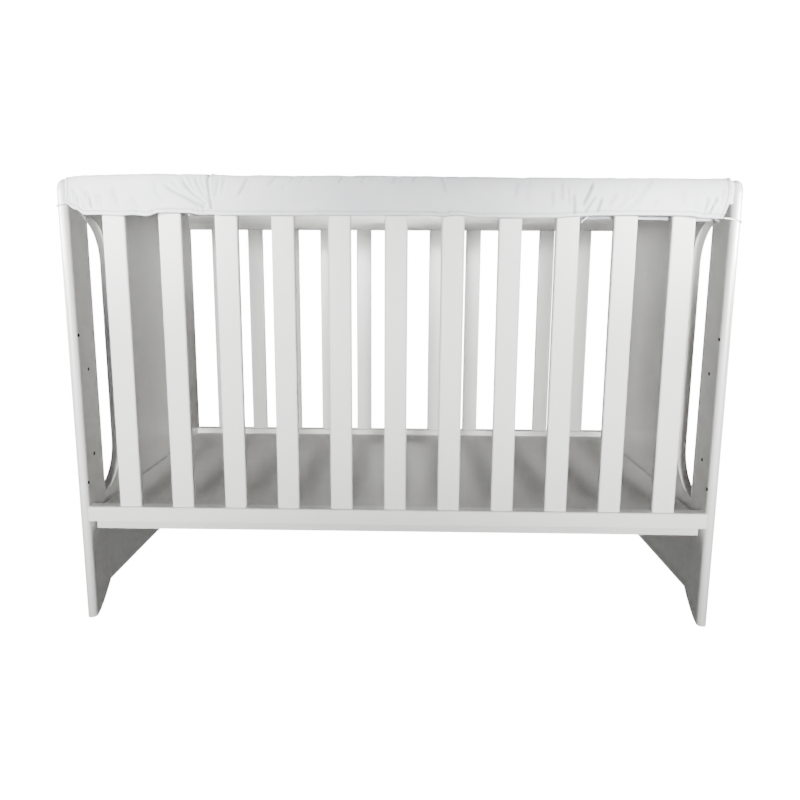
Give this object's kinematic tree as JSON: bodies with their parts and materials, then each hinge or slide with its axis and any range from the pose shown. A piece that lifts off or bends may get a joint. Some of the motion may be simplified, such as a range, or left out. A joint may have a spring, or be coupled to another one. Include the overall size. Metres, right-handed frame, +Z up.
{
  "type": "crib rail cover on a crib",
  "caption": "Hemmed cotton cover folded over the front top rail of a slatted crib and tied round its end posts.",
  "frame": {"origin": "centre of the whole crib's box on the floor under its feet", "axes": "+X along the rails to the right of someone who faces the cover, +Y from the covered front side to the back, +Z up"},
  "size_m": [1.358, 0.7494, 0.9406],
  "materials": {
    "cover_cotton": "plain-woven white cotton, matt",
    "tie_tape": "narrow white cotton tie, matt",
    "crib_paint": "white painted wood, satin",
    "base_paint": "white painted board, matt"
  },
  "bodies": {
    "root": {"rail_cover": "cover_cotton", "end_tie_left": "tie_tape", "end_tie_right": "tie_tape", "rail_tie_left": "tie_tape", "rail_tie_middle": "tie_tape", "rail_tie_right": "tie_tape", "rail_tie_end_left": "tie_tape", "rail_tie_end_middle": "tie_tape", "rail_tie_end_right": "tie_tape", "front_post_left": "crib_paint", "front_post_right": "crib_paint", "back_post_left": "crib_paint", "back_post_right": "crib_paint", "end_panel_left": "crib_paint", "end_panel_right": "crib_paint", "front_top_rail": "crib_paint", "front_top_rail_cap": "crib_paint", "front_bottom_rail": "crib_paint", "front_slat_1": "crib_paint", "front_slat_2": "crib_paint", "front_slat_3": "crib_paint", "front_slat_4": "crib_paint", "front_slat_5": "crib_paint", "front_slat_6": "crib_paint", "front_slat_7": "crib_paint", "front_slat_8": "crib_paint", "front_slat_9": "crib_paint", "front_slat_10": "crib_paint", "front_slat_11": "crib_paint", "back_top_rail": "crib_paint", "back_top_rail_cap": "crib_paint", "back_bottom_rail": "crib_paint", "back_slat_1": "crib_paint", "back_slat_2": "crib_paint", "back_slat_3": "crib_paint", "back_slat_4": "crib_paint", "back_slat_5": "crib_paint", "back_slat_6": "crib_paint", "back_slat_7": "crib_paint", "back_slat_8": "crib_paint", "back_slat_9": "crib_paint", "back_slat_10": "crib_paint", "back_slat_11": "crib_paint", "base_strip_front": "base_paint", "base_strip_back": "base_paint", "base_board": "base_paint"}
  },
  "joints": []
}
